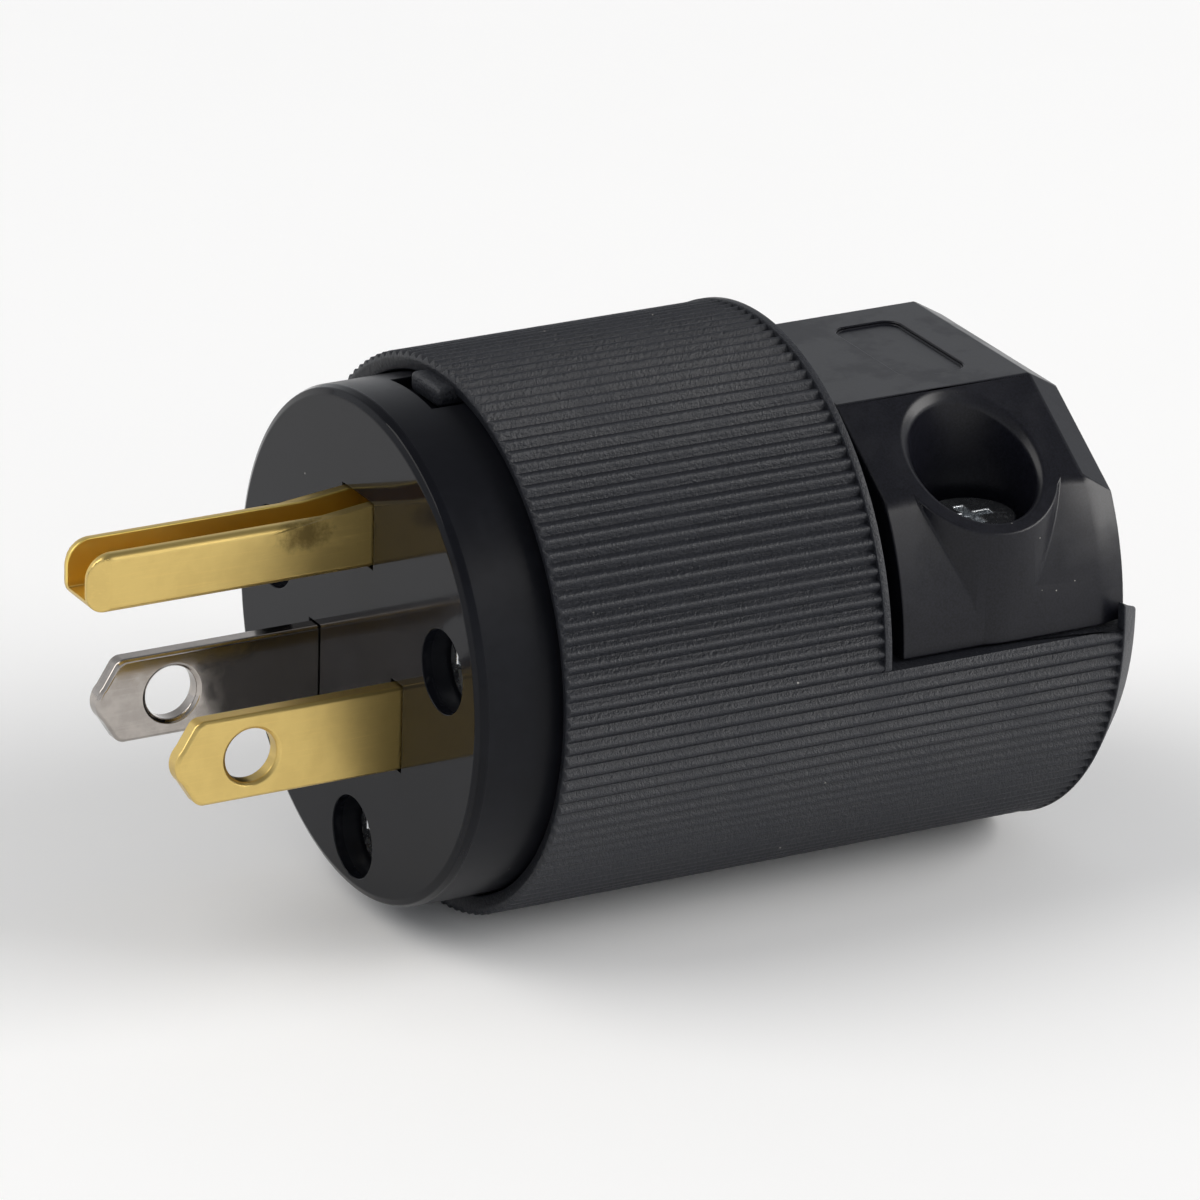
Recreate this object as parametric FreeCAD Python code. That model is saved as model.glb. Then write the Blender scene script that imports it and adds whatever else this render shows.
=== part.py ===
import FreeCAD, Part
import math
import os

# A grounded three-blade wiring plug. The face lies on the plane y = 0 with its centre at the origin, the blades
# point to -Y, the barrel runs to +Y and the ground blade is on top, towards +Z. All sizes are in millimetres.

# Flat blades
BLADE_SPACING = 12.7
BLADE_WIDTH = 6.35
BLADE_THICKNESS = 1.52
BLADE_REACH = 17.55
BLADE_DROP = 3.6
BLADE_NOSE_LENGTH = 1.75
BLADE_NOSE_CUT = 1.9
BLADE_TIP_CROWN = 0.55
BLADE_EDGE_BREAK = 0.22
BLADE_HOLE_RADIUS = 2.0
BLADE_HOLE_REACH = 11.65
BLADE_HOLE_DISH = 0.25

# Ground blade, a strip folded to a channel that is open at the top
GROUND_RISE = 12.62
GROUND_WIDTH = 4.6
GROUND_HEIGHT = 4.3
GROUND_SHEET = 0.9
GROUND_REACH = 22.0
GROUND_TIP_ROUND = 1.9
GROUND_TOE_ROUND = 1.3
GROUND_LEAD_LENGTH = 1.7
GROUND_LEAD_DEPTH = 0.45
GROUND_FOLD_ROUND = 0.55
GROUND_FLARE = 0.42
GROUND_FLARE_LENGTH = 3.6

# Contact carrier
FACE_RADIUS = 18.8
FACE_EDGE_ROUND = 0.7
FACE_EDGE_FACETS = 2
CARRIER_RIM = 9.0
CARRIER_STEP = 2.2
FRONT_WALL = 10.0
POCKET_LENGTH = 11.0
POCKET_SIDE_GAP = 0.25
POCKET_BACK_ROOM = 2.2
RETAINER_THICKNESS = 2.0
WIRE_HOLE_RADIUS = 2.3

# Terminals
TAB_WIDTH = 8.4
TERMINAL_SCREW_RADIUS = 2.0
TERMINAL_HEAD_RADIUS = 3.4
TERMINAL_HEAD_HEIGHT = 2.0
TERMINAL_SLOT_WIDTH = 0.9
TERMINAL_SLOT_DEPTH = 0.8
TERMINAL_SCREW_END = 0.8
WIRE_GAP = 2.0
PLATE_SIDE = 7.2
PLATE_THICKNESS = 1.2

# Assembly screws through the face
SIDE_SCREW_INSET = 3.16
SIDE_SCREW_Z = 3.0
LOWER_SCREW_INSET = 2.0
WELL_RADIUS = 3.05
WELL_DEPTH = 4.0
ASSEMBLY_HEAD_RADIUS = 2.75
ASSEMBLY_HEAD_HEIGHT = 1.9
ASSEMBLY_SCREW_RADIUS = 1.5
ASSEMBLY_SCREW_LENGTH = 25.0
BOSS_WALL = 2.0
CROSS_WIDTH = 0.75
CROSS_REACH = 1.7
CROSS_DEPTH = 1.0

# Body shell
MOUTH_WALL = 1.05
RIB_DEPTH = 0.4
RIB_COUNT = 126
RIB_VALLEY_SHARE = 0.48
MOUTH_Y = 6.2
RIM_BAND = 0.55
BAND_STAND = 0.05
NOTCH_Y = 32.1
REAR_BAND_Y = 50.8
REAR_Y = 52.3
REAR_CHAMFER = 0.5
REAR_WALL = 2.5
EAR_HEIGHT = 2.0

# Key tooth of the shell in the notch of the carrier
KEY_WIDTH = 4.3
KEY_FRONT = 1.1
KEY_TOP_DROP = 0.95
KEY_HEIGHT = 1.5
KEY_ROUND = 0.35
KEY_SIDE_GAP = 1.0
KEY_FRONT_GAP = 1.0
KEY_UNDER_GAP = 0.3

# Cord clamp
CLAMP_SEAM = 0.2
CLAMP_FRONT_GAP = 1.75
LEDGE_WIDTH = 1.15
WEB_INSET = 0.25
PLATEAU_Z = 15.8
PLATEAU_WIDTH = 16.4
SHOULDER_SLOPE = 33.2
CLAMP_TAPER = 2.4
TAPER_DROP = 1.4
TAPER_INSET = 0.6
COLUMN_RADIUS = 6.6
SCREW_WELL_Y = 42.3
SCREW_WELL_RADIUS = 4.6
SCREW_WELL_EDGE = 1.25
SCREW_WELL_CHAMFER = 0.5
SCREW_SEAT = 5.7
PAD_LENGTH = 11.0
PAD_WIDTH = 5.2
PAD_CORNER = 1.2
PAD_DEPTH = 0.25
PAD_SETBACK = 3.4
CLAMP_HEAD_RADIUS = 3.3
CLAMP_HEAD_HEIGHT = 2.3
CLAMP_SCREW_RADIUS = 1.75
CLAMP_SCREW_LENGTH = 16.0
SCREW_RUNOUT = 1.2

# Cord jaws
JAW_RADIUS = 6.0
RIDGE_HEIGHT = 0.6
RIDGE_WIDTH = 1.3
RIDGE_PITCH = 4.6
RIDGE_COUNT = 3

# Clearances
SLOT_FIT = 0.1
CARRIER_FIT = 0.15
RETAINER_FIT = 0.3
SHANK_FIT = 0.2
THREAD_FIT = 0.05
EAR_FIT = 0.3

# Places worked out from the sizes
BLADE_Z = -BLADE_DROP
GROUND_Z = BLADE_Z + GROUND_RISE
GROUND_BOTTOM = GROUND_Z - GROUND_HEIGHT / 2
GROUND_TOP = GROUND_Z + GROUND_HEIGHT / 2
CORE_RADIUS = FACE_RADIUS - CARRIER_STEP
CARRIER_END = FRONT_WALL + POCKET_LENGTH
RETAINER_END = CARRIER_END + RETAINER_THICKNESS
TERMINAL_Y = FRONT_WALL + POCKET_LENGTH / 2
MOUTH_RADIUS = FACE_RADIUS + CARRIER_FIT
ROOT_RADIUS = MOUTH_RADIUS + MOUTH_WALL
CREST_RADIUS = ROOT_RADIUS + RIB_DEPTH
BAND_RADIUS = CREST_RADIUS + BAND_STAND
CAVITY_RADIUS = CORE_RADIUS + RETAINER_FIT
CAVITY_END = NOTCH_Y - REAR_WALL
BOSS_RADIUS = ASSEMBLY_SCREW_RADIUS + BOSS_WALL
CLAMP_RADIUS = CREST_RADIUS - LEDGE_WIDTH
WEB_RADIUS = CLAMP_RADIUS - WEB_INSET
TAPER_Y = REAR_Y - CLAMP_TAPER
CLAMP_FRONT = NOTCH_Y + CLAMP_FRONT_GAP
EAR_INNER = CLAMP_RADIUS + EAR_FIT
COLUMN_X = CLAMP_RADIUS - COLUMN_RADIUS
SCREW_WELL_X = CLAMP_RADIUS - SCREW_WELL_RADIUS - SCREW_WELL_EDGE
SIDE_SCREW_X = math.sqrt((CORE_RADIUS - SIDE_SCREW_INSET) ** 2 - SIDE_SCREW_Z ** 2)
SCREW_POINTS = {
    "right": (SIDE_SCREW_X, SIDE_SCREW_Z),
    "left": (-SIDE_SCREW_X, SIDE_SCREW_Z),
    "lower": (0.0, LOWER_SCREW_INSET - CORE_RADIUS),
}
WELL_POINTS = {"right": (SCREW_WELL_X, SCREW_WELL_Y), "left": (-SCREW_WELL_X, SCREW_WELL_Y)}
PAST = 1.0
FAR = 2 * CREST_RADIUS

V = FreeCAD.Vector
X_AXIS = V(1, 0, 0)
Y_AXIS = V(0, 1, 0)
Z_AXIS = V(0, 0, 1)


def block(x0, x1, y0, y1, z0, z1):
    """A box between two corners."""
    return Part.makeBox(x1 - x0, y1 - y0, z1 - z0, V(x0, y0, z0))


def rod(radius, start, axis, length):
    """A cylinder from its start point along an axis."""
    return Part.makeCylinder(radius, length, start, axis)


def along(radius, point, y0, y1):
    """A cylinder parallel to the plug's axis at the given (x, z)."""
    return rod(radius, V(point[0], y0, point[1]), Y_AXIS, y1 - y0)


def upright(radius, point, z0, z1):
    """A vertical cylinder at the given (x, y)."""
    return rod(radius, V(point[0], point[1], z0), Z_AXIS, z1 - z0)


def turned(profile):
    """A solid turned about the plug's axis from (radius, y) points."""
    points = [V(radius, y, 0) for radius, y in profile]
    face = Part.Face(Part.makePolygon(points + points[:1]))
    return face.revolve(V(0, 0, 0), Y_AXIS, 360)


def ring(inner, outer, y0, y1):
    """A plain ring about the plug's axis."""
    return turned([(inner, y0), (outer, y0), (outer, y1), (inner, y1)])


def slotted_head(head, point, axis, across, reach):
    """A screw head with a straight driver slot cut into the face at the given point."""
    side = axis.cross(across)
    corner = point - across * reach - side * (TERMINAL_SLOT_WIDTH / 2) - axis * TERMINAL_SLOT_DEPTH
    outline = [
        corner,
        corner + across * (2 * reach),
        corner + across * (2 * reach) + side * TERMINAL_SLOT_WIDTH,
        corner + side * TERMINAL_SLOT_WIDTH,
    ]
    floor = Part.Face(Part.makePolygon(outline + outline[:1]))
    return head.cut(floor.extrude(axis * (TERMINAL_SLOT_DEPTH + PAST)))


def cross_recess(point, axis, across):
    """The cross-shaped driver recess of a screw head, open along the axis."""
    side = axis.cross(across)
    arms = []
    for long_way, short_way in ((across, side), (side, across)):
        corner = point - long_way * CROSS_REACH - short_way * (CROSS_WIDTH / 2) - axis * CROSS_DEPTH
        outline = [
            corner,
            corner + long_way * (2 * CROSS_REACH),
            corner + long_way * (2 * CROSS_REACH) + short_way * CROSS_WIDTH,
            corner + short_way * CROSS_WIDTH,
        ]
        floor = Part.Face(Part.makePolygon(outline + outline[:1]))
        arms.append(floor.extrude(axis * (CROSS_DEPTH + PAST)))
    return arms


def flat_blade(side):
    """A flat blade with cut tip corners and a hole, and the wider terminal tab behind the face wall."""
    half = BLADE_WIDTH / 2
    near = side * BLADE_SPACING / 2 - BLADE_THICKNESS / 2
    crown = -(BLADE_REACH - BLADE_TIP_CROWN)
    corner = -(BLADE_REACH - BLADE_NOSE_LENGTH)
    top = BLADE_Z + half
    bottom = BLADE_Z - half

    def at(y, z):
        return V(near, y, z)

    tip = Part.Arc(
        at(crown, top - BLADE_NOSE_CUT),
        at(-BLADE_REACH, BLADE_Z),
        at(crown, bottom + BLADE_NOSE_CUT),
    ).toShape()
    lines = [
        (at(FRONT_WALL, top), at(corner, top)),
        (at(corner, top), at(crown, top - BLADE_NOSE_CUT)),
        (at(crown, bottom + BLADE_NOSE_CUT), at(corner, bottom)),
        (at(corner, bottom), at(FRONT_WALL, bottom)),
        (at(FRONT_WALL, bottom), at(FRONT_WALL, top)),
    ]
    edges = [Part.LineSegment(start, end).toShape() for start, end in lines] + [tip]
    outline = Part.Wire(Part.__sortEdges__(edges))
    blade = Part.Face(outline).extrude(X_AXIS * BLADE_THICKNESS)
    rims = [
        edge for edge in blade.Edges
        if edge.BoundBox.XLength < BLADE_THICKNESS / 2 and edge.BoundBox.YMin < 0
    ]
    blade = blade.makeChamfer(BLADE_EDGE_BREAK, rims)
    hole = rod(BLADE_HOLE_RADIUS, V(near, -BLADE_HOLE_REACH, BLADE_Z), X_AXIS, BLADE_THICKNESS)
    blade = blade.cut(hole)
    hole_rims = [edge for edge in blade.Edges if edge.isClosed()]
    blade = blade.makeChamfer(BLADE_HOLE_DISH, hole_rims)
    tab = block(near, near + BLADE_THICKNESS, FRONT_WALL, CARRIER_END, top - TAB_WIDTH, top)
    screw_hole = rod(
        TERMINAL_SCREW_RADIUS + THREAD_FIT,
        V(near - PAST, TERMINAL_Y, top - TAB_WIDTH / 2),
        X_AXIS,
        BLADE_THICKNESS + 2 * PAST,
    )
    return blade.fuse(tab).cut(screw_hole).removeSplitter()


def ground_blade():
    """The folded channel blade with a rounded nose, walls that rise at the face, and a flat terminal tab."""
    half = GROUND_WIDTH / 2
    nose = -GROUND_REACH + GROUND_TIP_ROUND
    toe = -GROUND_REACH + GROUND_TOE_ROUND
    bend = GROUND_TIP_ROUND * (1 - math.sqrt(0.5))
    toe_bend = GROUND_TOE_ROUND * (1 - math.sqrt(0.5))

    def at(y, z):
        return V(-half, y, z)

    low_round = Part.Arc(
        at(toe, GROUND_BOTTOM),
        at(-GROUND_REACH + toe_bend, GROUND_BOTTOM + toe_bend),
        at(-GROUND_REACH, GROUND_BOTTOM + GROUND_TOE_ROUND),
    )
    high_round = Part.Arc(
        at(-GROUND_REACH, GROUND_TOP - GROUND_TIP_ROUND),
        at(-GROUND_REACH + bend, GROUND_TOP - bend),
        at(nose, GROUND_TOP),
    )
    corners = [
        (at(FRONT_WALL, GROUND_BOTTOM), at(toe, GROUND_BOTTOM)),
        (at(-GROUND_REACH, GROUND_BOTTOM + GROUND_TOE_ROUND), at(-GROUND_REACH, GROUND_TOP - GROUND_TIP_ROUND)),
        (at(nose, GROUND_TOP), at(-GROUND_FLARE_LENGTH, GROUND_TOP)),
        (at(-GROUND_FLARE_LENGTH, GROUND_TOP), at(0, GROUND_TOP + GROUND_FLARE)),
        (at(0, GROUND_TOP + GROUND_FLARE), at(FRONT_WALL, GROUND_TOP + GROUND_FLARE)),
        (at(FRONT_WALL, GROUND_TOP + GROUND_FLARE), at(FRONT_WALL, GROUND_BOTTOM)),
    ]
    edges = [Part.LineSegment(start, end).toShape() for start, end in corners]
    edges += [low_round.toShape(), high_round.toShape()]
    side = Part.Face(Part.Wire(Part.__sortEdges__(edges)))
    blade = side.extrude(X_AXIS * GROUND_WIDTH)
    folds = [
        edge for edge in blade.Edges
        if edge.BoundBox.ZMax < GROUND_BOTTOM + GROUND_FOLD_ROUND and edge.BoundBox.YLength > GROUND_REACH / 2
    ]
    blade = blade.makeFillet(GROUND_FOLD_ROUND, folds)
    leads = []
    for sign in (-1, 1):
        wedge = [
            V(sign * half, -GROUND_REACH + GROUND_LEAD_LENGTH, GROUND_BOTTOM - PAST),
            V(sign * (half - GROUND_LEAD_DEPTH), -GROUND_REACH, GROUND_BOTTOM - PAST),
            V(sign * (half - GROUND_LEAD_DEPTH), -GROUND_REACH - PAST, GROUND_BOTTOM - PAST),
            V(sign * (half + PAST), -GROUND_REACH - PAST, GROUND_BOTTOM - PAST),
            V(sign * (half + PAST), -GROUND_REACH + GROUND_LEAD_LENGTH, GROUND_BOTTOM - PAST),
        ]
        leads.append(Part.Face(Part.makePolygon(wedge + wedge[:1])).extrude(Z_AXIS * FAR))
    inside = half - GROUND_SHEET
    channel = block(
        -inside, inside, -GROUND_REACH - PAST, FRONT_WALL + PAST, GROUND_BOTTOM + GROUND_SHEET, GROUND_TOP + FAR
    )
    blade = blade.cut(leads + [channel])
    tab = block(
        -TAB_WIDTH / 2, TAB_WIDTH / 2, FRONT_WALL, CARRIER_END, GROUND_BOTTOM, GROUND_BOTTOM + GROUND_SHEET
    )
    screw_hole = upright(
        TERMINAL_SCREW_RADIUS + THREAD_FIT, (0, TERMINAL_Y), GROUND_BOTTOM - PAST, GROUND_BOTTOM + 2 * PAST
    )
    return blade.fuse(tab).cut(screw_hole).removeSplitter()


def terminal_frames():
    """For each terminal: the point on its tab's outer face, the way its screw head faces, and the tab's sheet."""
    tab_z = BLADE_Z + BLADE_WIDTH / 2 - TAB_WIDTH / 2
    tab_x = BLADE_SPACING / 2 + BLADE_THICKNESS / 2
    return {
        "hot": (V(tab_x, TERMINAL_Y, tab_z), X_AXIS, BLADE_THICKNESS),
        "neutral": (V(-tab_x, TERMINAL_Y, tab_z), X_AXIS * -1, BLADE_THICKNESS),
        "ground": (V(0, TERMINAL_Y, GROUND_BOTTOM + GROUND_SHEET), Z_AXIS, GROUND_SHEET),
    }


def terminal_screw(point, axis, sheet):
    """A terminal screw that passes through its tab, with its head above the wire clamp plate."""
    seat = point + axis * (WIRE_GAP + PLATE_THICKNESS)
    shank_length = WIRE_GAP + PLATE_THICKNESS + sheet + TERMINAL_SCREW_END
    shank = rod(TERMINAL_SCREW_RADIUS, seat - axis * shank_length, axis, shank_length)
    head = rod(TERMINAL_HEAD_RADIUS, seat, axis, TERMINAL_HEAD_HEIGHT)
    top = seat + axis * TERMINAL_HEAD_HEIGHT
    return shank.fuse(slotted_head(head, top, axis, Y_AXIS, TERMINAL_HEAD_RADIUS + PAST)).removeSplitter()


def clamp_plate(point, axis):
    """The square plate that a terminal screw presses on the wire."""
    across = axis.cross(Y_AXIS)
    half = PLATE_SIDE / 2
    base = point + axis * WIRE_GAP
    outline = [
        base - Y_AXIS * half - across * half,
        base + Y_AXIS * half - across * half,
        base + Y_AXIS * half + across * half,
        base - Y_AXIS * half + across * half,
    ]
    plate = Part.Face(Part.makePolygon(outline + outline[:1])).extrude(axis * PLATE_THICKNESS)
    hole = rod(TERMINAL_SCREW_RADIUS + THREAD_FIT, base - axis * PAST, axis, PLATE_THICKNESS + 2 * PAST)
    return plate.cut(hole)


def contact_carrier():
    """The face disc with a rounded front edge, cut for the blades, the screw wells and the key."""
    edge = []
    for step in range(FACE_EDGE_FACETS + 1):
        angle = math.pi / 2 * step / FACE_EDGE_FACETS
        radius = FACE_RADIUS - FACE_EDGE_ROUND * (1 - math.sin(angle))
        edge.append((radius, FACE_EDGE_ROUND * (1 - math.cos(angle))))
    rim = [(FACE_RADIUS, CARRIER_RIM), (CORE_RADIUS, CARRIER_RIM), (CORE_RADIUS, FRONT_WALL), (0, FRONT_WALL)]
    disc = turned([(0, 0)] + edge + rim)
    cuts = []
    half = BLADE_THICKNESS / 2 + SLOT_FIT
    for side in (-1, 1):
        centre = side * BLADE_SPACING / 2
        cuts.append(
            block(
                centre - half, centre + half, -PAST, FRONT_WALL + PAST,
                BLADE_Z - BLADE_WIDTH / 2 - SLOT_FIT, BLADE_Z + BLADE_WIDTH / 2 + SLOT_FIT,
            )
        )
    half = GROUND_WIDTH / 2 + SLOT_FIT
    cuts.append(
        block(
            -half, half, -PAST, FRONT_WALL + PAST,
            GROUND_BOTTOM - SLOT_FIT, GROUND_TOP + GROUND_FLARE + SLOT_FIT,
        )
    )
    for point in SCREW_POINTS.values():
        cuts.append(along(WELL_RADIUS, point, -PAST, WELL_DEPTH))
        cuts.append(along(ASSEMBLY_SCREW_RADIUS + SHANK_FIT, point, 0, FRONT_WALL + PAST))
    key_half = KEY_WIDTH / 2 + KEY_SIDE_GAP
    key_floor = CREST_RADIUS - KEY_TOP_DROP - KEY_HEIGHT - KEY_UNDER_GAP
    key_front = MOUTH_Y - KEY_FRONT - KEY_FRONT_GAP
    cuts.append(block(-key_half, key_half, key_front, CARRIER_RIM + PAST, key_floor, FAR))
    return disc.cut(cuts).removeSplitter()


def terminal_block():
    """The core behind the face disc, with a pocket round each terminal that is open to the side and to the rear."""
    core = along(CORE_RADIUS, (0, 0), FRONT_WALL, CARRIER_END)
    top = BLADE_Z + BLADE_WIDTH / 2
    depth = POCKET_BACK_ROOM + BLADE_THICKNESS / 2
    cuts = []
    for side in (-1, 1):
        inner = side * (BLADE_SPACING / 2 - depth)
        outer = side * FAR
        cuts.append(
            block(
                min(inner, outer), max(inner, outer), FRONT_WALL - PAST, CARRIER_END + PAST,
                top - TAB_WIDTH - POCKET_SIDE_GAP, top + POCKET_SIDE_GAP,
            )
        )
    half = TAB_WIDTH / 2 + POCKET_SIDE_GAP
    cuts.append(
        block(-half, half, FRONT_WALL - PAST, CARRIER_END + PAST, GROUND_BOTTOM - POCKET_BACK_ROOM, FAR)
    )
    for point in SCREW_POINTS.values():
        cuts.append(along(ASSEMBLY_SCREW_RADIUS + SHANK_FIT, point, FRONT_WALL - PAST, CARRIER_END + PAST))
    return core.cut(cuts)


def wire_retainer():
    """The plate behind the carrier, with a hole in line with each wire gap and each assembly screw."""
    plate = along(CORE_RADIUS, (0, 0), CARRIER_END, RETAINER_END)
    cuts = []
    for point, axis, sheet in terminal_frames().values():
        middle = point + axis * (WIRE_GAP / 2)
        cuts.append(along(WIRE_HOLE_RADIUS, (middle.x, middle.z), CARRIER_END - PAST, RETAINER_END + PAST))
    for point in SCREW_POINTS.values():
        cuts.append(along(ASSEMBLY_SCREW_RADIUS + SHANK_FIT, point, CARRIER_END - PAST, RETAINER_END + PAST))
    return plate.cut(cuts)


def assembly_screw(point):
    """A long screw with a cross-recessed head, down in its well of the face."""
    x, z = point
    shank = along(ASSEMBLY_SCREW_RADIUS, point, WELL_DEPTH, WELL_DEPTH + ASSEMBLY_SCREW_LENGTH)
    head = along(ASSEMBLY_HEAD_RADIUS, point, WELL_DEPTH - ASSEMBLY_HEAD_HEIGHT, WELL_DEPTH)
    top = V(x, WELL_DEPTH - ASSEMBLY_HEAD_HEIGHT, z)
    return shank.fuse(head).cut(cross_recess(top, Y_AXIS * -1, X_AXIS)).removeSplitter()


def jaw_ridges():
    """The ridges that grip the cord, as whole rings round the jaw bore."""
    middle = (CLAMP_FRONT + REAR_Y) / 2
    first = middle - RIDGE_PITCH * (RIDGE_COUNT - 1) / 2
    starts = [first + RIDGE_PITCH * step - RIDGE_WIDTH / 2 for step in range(RIDGE_COUNT)]
    inner = JAW_RADIUS - RIDGE_HEIGHT
    return [ring(inner, JAW_RADIUS + RIDGE_HEIGHT, start, start + RIDGE_WIDTH) for start in starts]


def rib_section():
    """The barrel's ribbed section: ribs with a flat crest and a pointed valley, all round the circle."""
    pitch = 2 * math.pi / RIB_COUNT
    shape = (
        (0.0, ROOT_RADIUS),
        (RIB_VALLEY_SHARE / 2, CREST_RADIUS),
        (1 - RIB_VALLEY_SHARE / 2, CREST_RADIUS),
    )
    points = []
    for rib in range(RIB_COUNT):
        for share, radius in shape:
            angle = (rib + share) * pitch
            points.append(V(radius * math.cos(angle), MOUTH_Y, radius * math.sin(angle)))
    return Part.Face(Part.makePolygon(points + points[:1]))


def body_shell():
    """The ribbed barrel with its mouth, wiring space, screw bosses, clamp notch, lower jaw and key tooth."""
    shell = rib_section().extrude(Y_AXIS * (REAR_BAND_Y - MOUTH_Y))
    notch = block(-FAR, FAR, NOTCH_Y - RIM_BAND, REAR_Y + PAST, 0, FAR)
    shell = shell.cut(notch)
    upper = block(-FAR, FAR, 0, REAR_Y + PAST, 0, FAR)
    rim = along(BAND_RADIUS, (0, 0), NOTCH_Y - RIM_BAND, NOTCH_Y).common(upper)
    tail = turned(
        [
            (0, REAR_BAND_Y), (BAND_RADIUS, REAR_BAND_Y), (BAND_RADIUS, REAR_Y - REAR_CHAMFER),
            (BAND_RADIUS - REAR_CHAMFER, REAR_Y), (0, REAR_Y),
        ]
    )
    tail = tail.cut(
        [
            block(-FAR, FAR, 0, REAR_Y + PAST, EAR_HEIGHT, FAR),
            block(-EAR_INNER, EAR_INNER, 0, REAR_Y + PAST, 0, FAR),
        ]
    )
    shell = shell.fuse([rim, tail])
    hollow = turned(
        [
            (0, 0), (MOUTH_RADIUS, 0), (MOUTH_RADIUS, CARRIER_RIM), (CAVITY_RADIUS, CARRIER_RIM),
            (CAVITY_RADIUS, CAVITY_END), (0, CAVITY_END),
        ]
    )
    shell = shell.cut([hollow, along(JAW_RADIUS, (0, 0), CAVITY_END - PAST, REAR_Y + PAST)])
    inside = along(CAVITY_RADIUS + MOUTH_WALL, (0, 0), RETAINER_END, CAVITY_END)
    bosses = [
        along(BOSS_RADIUS, point, RETAINER_END, CAVITY_END).common(inside) for point in SCREW_POINTS.values()
    ]
    lower = block(-FAR, FAR, CLAMP_FRONT, REAR_Y, -FAR, 0)
    ridges = [ridge.common(lower) for ridge in jaw_ridges()]
    shell = shell.fuse(bosses + ridges + [key_tooth()])
    holes = []
    screw_end = WELL_DEPTH + ASSEMBLY_SCREW_LENGTH + SCREW_RUNOUT
    for point in SCREW_POINTS.values():
        holes.append(along(ASSEMBLY_SCREW_RADIUS + THREAD_FIT, point, RETAINER_END - PAST, screw_end))
    screw_low = SCREW_SEAT - CLAMP_SCREW_LENGTH - SCREW_RUNOUT
    for point in WELL_POINTS.values():
        holes.append(upright(CLAMP_SCREW_RADIUS + THREAD_FIT, point, screw_low, PAST))
    return shell.cut(holes).removeSplitter()


def key_tooth():
    """The tooth that stands forward of the shell's mouth into the carrier's notch."""
    top = CREST_RADIUS - KEY_TOP_DROP
    tooth = block(-KEY_WIDTH / 2, KEY_WIDTH / 2, MOUTH_Y - KEY_FRONT, CARRIER_RIM, top - KEY_HEIGHT, top)
    rounded = [
        edge for edge in tooth.Edges
        if edge.BoundBox.ZMin > top - KEY_ROUND and edge.BoundBox.YMin < CARRIER_RIM - KEY_FRONT
    ]
    return tooth.makeFillet(KEY_ROUND, rounded)


def roof_corners(y, plateau):
    """The corners of the clamp's top in section: a flat plateau between shoulders that fall away to the sides."""
    edge = PLATEAU_WIDTH / 2
    foot = edge + plateau / math.tan(math.radians(SHOULDER_SLOPE))
    return [V(-foot, y, 0), V(foot, y, 0), V(edge, y, plateau), V(-edge, y, plateau)]


def prism_between(front, rear):
    """The flat-sided solid between two outlines whose sides are parallel in pairs."""
    faces = [Part.Face(Part.makePolygon(outline + outline[:1])) for outline in (front, rear)]
    for index in range(len(front)):
        after = (index + 1) % len(front)
        side = [front[index], front[after], rear[after], rear[index], front[index]]
        faces.append(Part.Face(Part.makePolygon(side)))
    return Part.Solid(Part.Shell(faces))


def clamp_roof():
    """The solid under the clamp's top, with the two screw wells sunk into its shoulders and a dropped rear end."""
    middle = roof_corners(TAPER_Y, PLATEAU_Z)
    roof = prism_between(roof_corners(CLAMP_FRONT, PLATEAU_Z), middle)
    roof = roof.cut([upright(SCREW_WELL_RADIUS, point, SCREW_SEAT, FAR) for point in WELL_POINTS.values()])
    mouths = [edge for edge in roof.Edges if edge.Curve.TypeId == "Part::GeomEllipse"]
    roof = roof.makeChamfer(SCREW_WELL_CHAMFER, mouths)
    return roof.fuse(prism_between(middle, roof_corners(REAR_Y, PLATEAU_Z - TAPER_DROP)))


def plain_pad():
    """The shallow recess with round corners on the plateau."""
    rear = TAPER_Y - PAD_SETBACK
    pad = block(-PAD_LENGTH / 2, PAD_LENGTH / 2, rear - PAD_WIDTH, rear, PLATEAU_Z - PAD_DEPTH, PLATEAU_Z + PAST)
    corners = [edge for edge in pad.Edges if edge.BoundBox.ZLength > PAD_DEPTH]
    return pad.makeFillet(PAD_CORNER, corners)


def cord_clamp():
    """The outer cord jaw: a recessed front web, columns round two deep screw wells and a tapered rear."""
    web = along(WEB_RADIUS, (0, 0), CLAMP_FRONT, SCREW_WELL_Y)
    rear = turned(
        [
            (0, SCREW_WELL_Y), (CLAMP_RADIUS, SCREW_WELL_Y), (CLAMP_RADIUS, TAPER_Y),
            (CLAMP_RADIUS - TAPER_INSET, REAR_Y), (0, REAR_Y),
        ]
    )
    columns = [upright(COLUMN_RADIUS, (side * COLUMN_X, SCREW_WELL_Y), 0, PLATEAU_Z) for side in (-1, 1)]
    above = block(-FAR, FAR, CLAMP_FRONT, REAR_Y, CLAMP_SEAM, FAR)
    clamp = web.fuse([rear] + columns).common(above).common(clamp_roof())
    cuts = [along(JAW_RADIUS, (0, 0), CLAMP_FRONT - PAST, REAR_Y + PAST), plain_pad()]
    for point in WELL_POINTS.values():
        cuts.append(upright(CLAMP_SCREW_RADIUS + SHANK_FIT, point, 0, SCREW_SEAT + PAST))
    ridges = [ridge.common(above) for ridge in jaw_ridges()]
    return clamp.cut(cuts).fuse(ridges).removeSplitter()


def clamp_screw(point):
    """A clamp screw with its head on the floor of its well and its shank in the shell."""
    x, y = point
    head_top = SCREW_SEAT + CLAMP_HEAD_HEIGHT
    shank = upright(CLAMP_SCREW_RADIUS, point, SCREW_SEAT - CLAMP_SCREW_LENGTH, SCREW_SEAT)
    head = upright(CLAMP_HEAD_RADIUS, point, SCREW_SEAT, head_top)
    return shank.fuse(head).cut(cross_recess(V(x, y, head_top), Z_AXIS, X_AXIS)).removeSplitter()


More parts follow.
